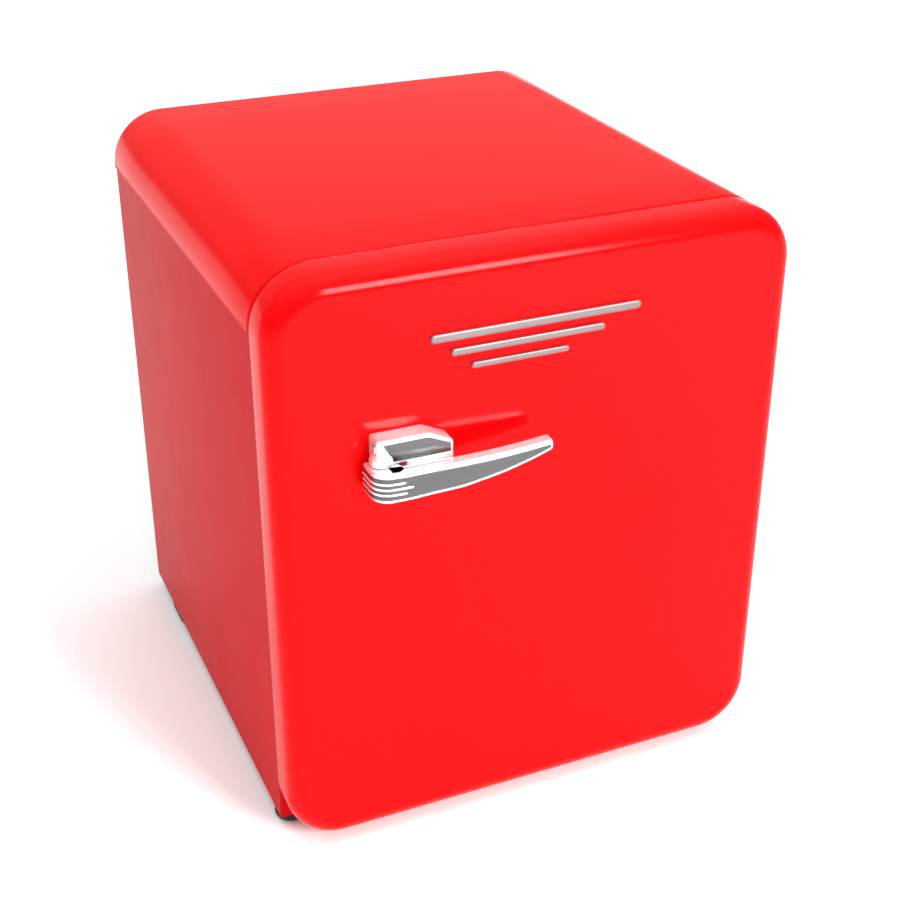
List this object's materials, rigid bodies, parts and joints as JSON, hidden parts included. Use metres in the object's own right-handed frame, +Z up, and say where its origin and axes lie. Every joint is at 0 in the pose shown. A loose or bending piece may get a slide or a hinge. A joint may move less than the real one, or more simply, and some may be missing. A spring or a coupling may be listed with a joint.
{
  "type": "mini fridge",
  "caption": "Compact cube refrigerator with rounded enamelled door, chrome lever handle, ice box, glass shelf, door racks and rear condenser with compressor.",
  "frame": {"origin": "on the floor under the feet, at the middle of the overall outline in X and Y", "axes": "+Z up, the door faces -Y, +X towards the door's hinge side"},
  "size_m": [0.44, 0.499, 0.512],
  "materials": {
    "red_enamel": "gloss",
    "red_side_paint": "satin",
    "zinc_steel": "satin",
    "foam": "matte",
    "white_liner": "satin",
    "evaporator_alu": "satin",
    "flap_plastic": "satin",
    "knob_plastic": "satin",
    "bright_steel": "polished",
    "shelf_glass": "polished",
    "black_paint": "satin",
    "motor_copper": "satin",
    "black_rubber": "matte",
    "black_plastic": "satin",
    "copper_pipe": "satin",
    "gasket": "matte",
    "bush_plastic": "satin",
    "chrome_trim": "polished",
    "brushed_inlay": "satin"
  },
  "bodies": {
    "cabinet": {"top_cover": "red_enamel", "side_panel_left": "red_side_paint", "side_panel_right": "red_side_paint", "base_pan": "red_side_paint", "compressor_tray": "zinc_steel", "bay_panel": "zinc_steel", "back_panel": "zinc_steel", "foam_core": "foam", "inner_liner": "white_liner", "evaporator": "evaporator_alu", "evaporator_screws": "bright_steel", "tray_runners": "white_liner", "thermostat_housing": "white_liner", "thermostat_sensor": "bright_steel", "glass_shelf": "shelf_glass", "shelf_trims": "white_liner", "condenser_tube": "black_paint", "condenser_wires": "black_paint", "condenser_clips": "black_paint", "compressor_lower_shell": "black_paint", "compressor_upper_shell": "black_paint", "compressor_motor": "motor_copper", "compressor_mount": "black_paint", "compressor_grommets": "black_rubber", "compressor_bolts": "bright_steel", "relay_cover": "black_plastic", "discharge_pipe": "copper_pipe", "suction_pipe": "copper_pipe", "filter_drier": "copper_pipe", "capillary_tube": "copper_pipe", "cable_gland": "black_plastic", "upper_hinge": "zinc_steel", "lower_hinge": "zinc_steel", "hinge_pins": "bright_steel", "hinge_screws": "bright_steel", "foot_inserts": "zinc_steel", "rear_feet": "black_plastic"},
    "door": {"door_skin": "red_enamel", "door_foam": "foam", "door_liner": "white_liner", "door_gasket": "gasket", "door_bushes": "bush_plastic", "upper_rack": "white_liner", "lower_rack": "white_liner", "rack_rail": "chrome_trim", "badge_bars": "chrome_trim", "handle_base": "chrome_trim", "handle_plate": "brushed_inlay", "handle_screws": "zinc_steel", "lever_pin": "bright_steel", "lever_spring": "zinc_steel"},
    "lever": {"lever": "chrome_trim", "lever_plate": "brushed_inlay"},
    "freezer_flap": {"freezer_flap": "flap_plastic"},
    "drip_tray": {"drip_tray": "white_liner"},
    "thermostat_knob": {"thermostat_knob": "knob_plastic", "thermostat_spindle": "bright_steel"},
    "front_foot_left": {"front_foot_left": "black_plastic"},
    "front_foot_right": {"front_foot_right": "black_plastic"}
  },
  "joints": [
    {"name": "door_hinge", "type": "hinge", "parent": "cabinet", "child": "door", "pos_m": [0.21, -0.1975, 0.26], "axis": [0, 0, 1], "range_deg": [0, 110]},
    {"name": "lever_pivot", "type": "hinge", "parent": "door", "child": "lever", "pos_m": [-0.141, -0.2275, 0.3525], "axis": [0, 0, -1], "range_deg": [0, 14], "stiffness_Nm_per_rad": 0.3, "springref_deg": -20.05},
    {"name": "freezer_flap_hinge", "type": "hinge", "parent": "cabinet", "child": "freezer_flap", "pos_m": [-0.058, -0.0655, 0.46], "axis": [-1, 0, 0], "range_deg": [0, 85]},
    {"name": "drip_tray_slide", "type": "slide", "parent": "cabinet", "child": "drip_tray", "axis": [0, -1, 0], "range_m": [0, 0.085]},
    {"name": "thermostat_turn", "type": "hinge", "parent": "cabinet", "child": "thermostat_knob", "pos_m": [0.126, -0.0255, 0.446], "axis": [0, -1, 0], "range_deg": [0, 270]},
    {"name": "foot_left_screw", "type": "slide", "parent": "cabinet", "child": "front_foot_left", "axis": [0, 0, -1], "range_m": [0, 0.008]},
    {"name": "foot_right_screw", "type": "slide", "parent": "cabinet", "child": "front_foot_right", "axis": [0, 0, -1], "range_m": [0, 0.008]}
  ]
}
